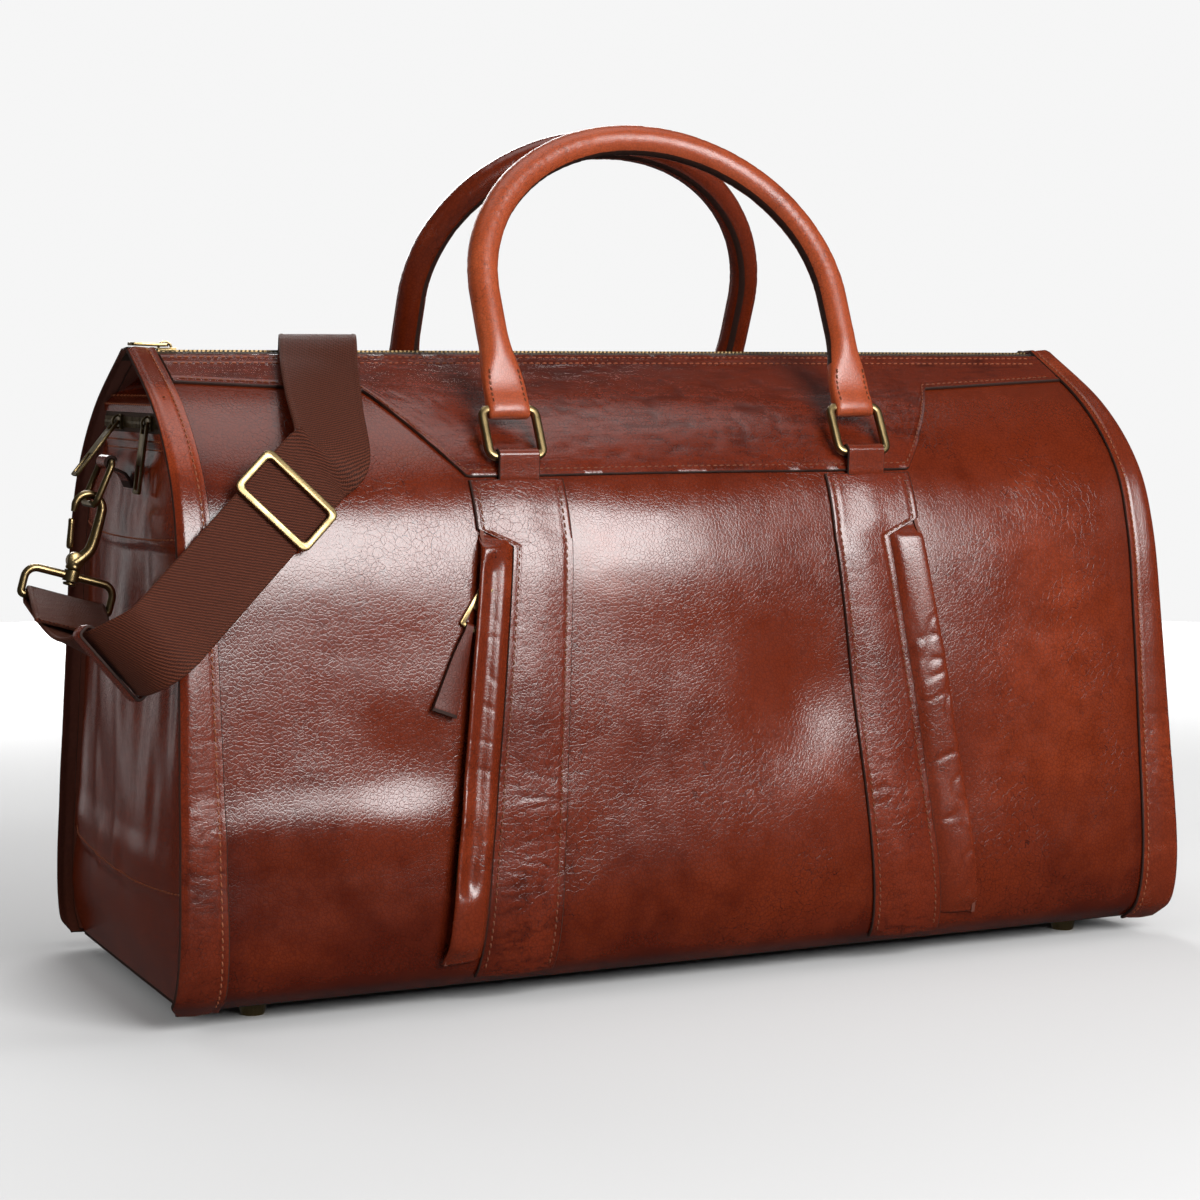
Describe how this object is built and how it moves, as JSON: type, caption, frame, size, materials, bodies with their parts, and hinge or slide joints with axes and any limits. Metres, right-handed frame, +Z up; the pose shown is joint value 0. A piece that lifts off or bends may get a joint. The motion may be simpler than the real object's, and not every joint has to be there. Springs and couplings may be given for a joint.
{
  "type": "weekender bag",
  "caption": "Leather weekender bag with a zipped mouth, arched carrying handles on rings, end pocket, front pocket and a clip-on webbing shoulder strap.",
  "frame": {"origin": "on the ground under the middle of the bag", "axes": "+X along the bag's length towards the end without the zipped end pocket, -Y the front with the front pocket, +Z up"},
  "size_m": [0.6372, 0.2523, 0.4226],
  "materials": {
    "panel_leather": "pebbled vegetable-tanned cowhide, satin, darker in its folds",
    "trim_leather": "smooth polished bridle leather with dark painted edges",
    "lining": "matt cotton twill",
    "brass": "brushed pale antique brass",
    "zip_tape": "dark brown woven tape with metal teeth",
    "webbing": "dark brown ribbed webbing, slight sheen",
    "base": "black coated leather",
    "board": "plain stiffener board"
  },
  "bodies": {
    "root": {"back_left_foot": "brass", "back_left_patch": "panel_leather", "back_left_ring_loop": "trim_leather", "back_left_trim": "trim_leather", "back_panel": "panel_leather", "back_right_foot": "brass", "back_right_patch": "panel_leather", "back_right_ring_loop": "trim_leather", "back_right_trim": "trim_leather", "back_yoke": "panel_leather", "back_zip_half": "zip_tape", "base_board": "board", "base_panel": "base", "end_zip": "zip_tape", "front_left_foot": "brass", "front_left_patch": "panel_leather", "front_left_ring_loop": "trim_leather", "front_left_trim": "trim_leather", "front_panel": "panel_leather", "front_right_foot": "brass", "front_right_patch": "panel_leather", "front_right_ring_loop": "trim_leather", "front_right_trim": "trim_leather", "front_yoke": "panel_leather", "front_zip_half": "zip_tape", "left_gusset": "panel_leather", "left_keeper": "trim_leather", "left_placket": "trim_leather", "left_ring_tab": "trim_leather", "left_swivel_loop": "brass", "lining": "lining", "pocket_zip": "zip_tape", "right_gusset": "panel_leather", "right_keeper": "trim_leather", "right_placket": "trim_leather", "right_ring_tab": "trim_leather", "right_swivel_loop": "brass", "shoulder_strap": "webbing"},
    "main_slider": {"main_slider": "brass"},
    "main_pull": {"main_pull": "brass"},
    "end_back_slider": {"end_back_slider": "brass"},
    "end_back_pull": {"end_back_pull": "brass"},
    "end_front_slider": {"end_front_slider": "brass"},
    "end_front_pull": {"end_front_pull": "brass"},
    "pocket_slider": {"pocket_slider": "brass"},
    "pocket_pull": {"pocket_pull": "brass", "pocket_puller": "trim_leather"},
    "front_rings": {"front_left_ring": "brass", "front_right_ring": "brass"},
    "front_handle": {"front_handle": "trim_leather"},
    "back_rings": {"back_left_ring": "brass", "back_right_ring": "brass"},
    "back_handle": {"back_handle": "trim_leather"},
    "left_d_ring": {"left_d_ring": "brass"},
    "left_hook": {"left_hook": "brass"},
    "left_gate": {"left_gate": "brass"},
    "right_d_ring": {"right_d_ring": "brass"},
    "right_hook": {"right_hook": "brass"},
    "right_gate": {"right_gate": "brass"},
    "strap_slide": {"strap_slide": "brass"}
  },
  "joints": [
    {"name": "main_zip_slide", "type": "slide", "parent": "root", "child": "main_slider", "axis": [1, 0, 0], "range_m": [0, 0.484]},
    {"name": "main_pull_hinge", "type": "hinge", "parent": "main_slider", "child": "main_pull", "pos_m": [-0.242, 0, 0.3108], "axis": [0, 1, 0], "range_deg": [0, 170]},
    {"name": "end_back_slide", "type": "slide", "parent": "root", "child": "end_back_slider", "axis": [0, 1, 0], "range_m": [0, 0.024]},
    {"name": "end_back_pull_hinge", "type": "hinge", "parent": "end_back_slider", "child": "end_back_pull", "pos_m": [-0.2618, 0.018, 0.274], "axis": [0, 1, 0], "range_deg": [-28, 60]},
    {"name": "end_front_slide", "type": "slide", "parent": "root", "child": "end_front_slider", "axis": [0, 1, 0], "range_m": [-0.007, 0.006]},
    {"name": "end_front_pull_hinge", "type": "hinge", "parent": "end_front_slider", "child": "end_front_pull", "pos_m": [-0.2618, -0.036, 0.274], "axis": [0, 1, 0], "range_deg": [-1, 80]},
    {"name": "pocket_zip_slide", "type": "slide", "parent": "root", "child": "pocket_slider", "axis": [-0.1301, -0.1029, -0.9862], "range_m": [0, 0.1294]},
    {"name": "pocket_pull_swing", "type": "hinge", "parent": "pocket_slider", "child": "pocket_pull", "pos_m": [-0.11688, -0.10428, 0.19584], "axis": [0.0008, -0.9946, 0.1036], "range_deg": [-5, 1]},
    {"name": "front_rings_hinge", "type": "hinge", "parent": "root", "child": "front_rings", "pos_m": [0, -0.08629, 0.25811], "axis": [1, 0, 0], "range_deg": [0, 75]},
    {"name": "front_handle_hinge", "type": "hinge", "parent": "front_rings", "child": "front_handle", "pos_m": [0, -0.07517, 0.27994], "axis": [1, 0, 0], "range_deg": [-1, 85]},
    {"name": "back_rings_hinge", "type": "hinge", "parent": "root", "child": "back_rings", "pos_m": [0, 0.08629, 0.25811], "axis": [-1, 0, 0], "range_deg": [0, 75]},
    {"name": "back_handle_hinge", "type": "hinge", "parent": "back_rings", "child": "back_handle", "pos_m": [0, 0.07517, 0.27994], "axis": [-1, 0, 0], "range_deg": [-1, 85]},
    {"name": "left_d_ring_hinge", "type": "hinge", "parent": "root", "child": "left_d_ring", "pos_m": [-0.2735, -0.01, 0.2555], "axis": [0, -1, 0], "range_deg": [0, 5]},
    {"name": "left_hook_swivel", "type": "hinge", "parent": "root", "child": "left_hook", "pos_m": [-0.292, -0.012, 0.202], "axis": [0.2764, 0.0567, 0.9594], "range_deg": [-10, 10]},
    {"name": "left_gate_hinge", "type": "hinge", "parent": "left_hook", "child": "left_gate", "pos_m": [-0.29257, -0.01131, 0.21484], "axis": [-0.0157, 0.9984, -0.0545], "range_deg": [0, 25], "stiffness_Nm_per_rad": 0.02},
    {"name": "right_d_ring_hinge", "type": "hinge", "parent": "root", "child": "right_d_ring", "pos_m": [0.2735, 0.01, 0.2555], "axis": [0, 1, 0], "range_deg": [0, 5]},
    {"name": "right_hook_swivel", "type": "hinge", "parent": "root", "child": "right_hook", "pos_m": [0.292, 0.012, 0.202], "axis": [-0.2764, -0.0567, 0.9594], "range_deg": [-10, 10]},
    {"name": "right_gate_hinge", "type": "hinge", "parent": "right_hook", "child": "right_gate", "pos_m": [0.29257, 0.01131, 0.21484], "axis": [0.0157, -0.9984, -0.0545], "range_deg": [0, 25], "stiffness_Nm_per_rad": 0.02},
    {"name": "strap_slide_travel", "type": "slide", "parent": "root", "child": "strap_slide", "axis": [-0.7172, -0.2212, -0.6608], "range_m": [0, 0.03]}
  ]
}
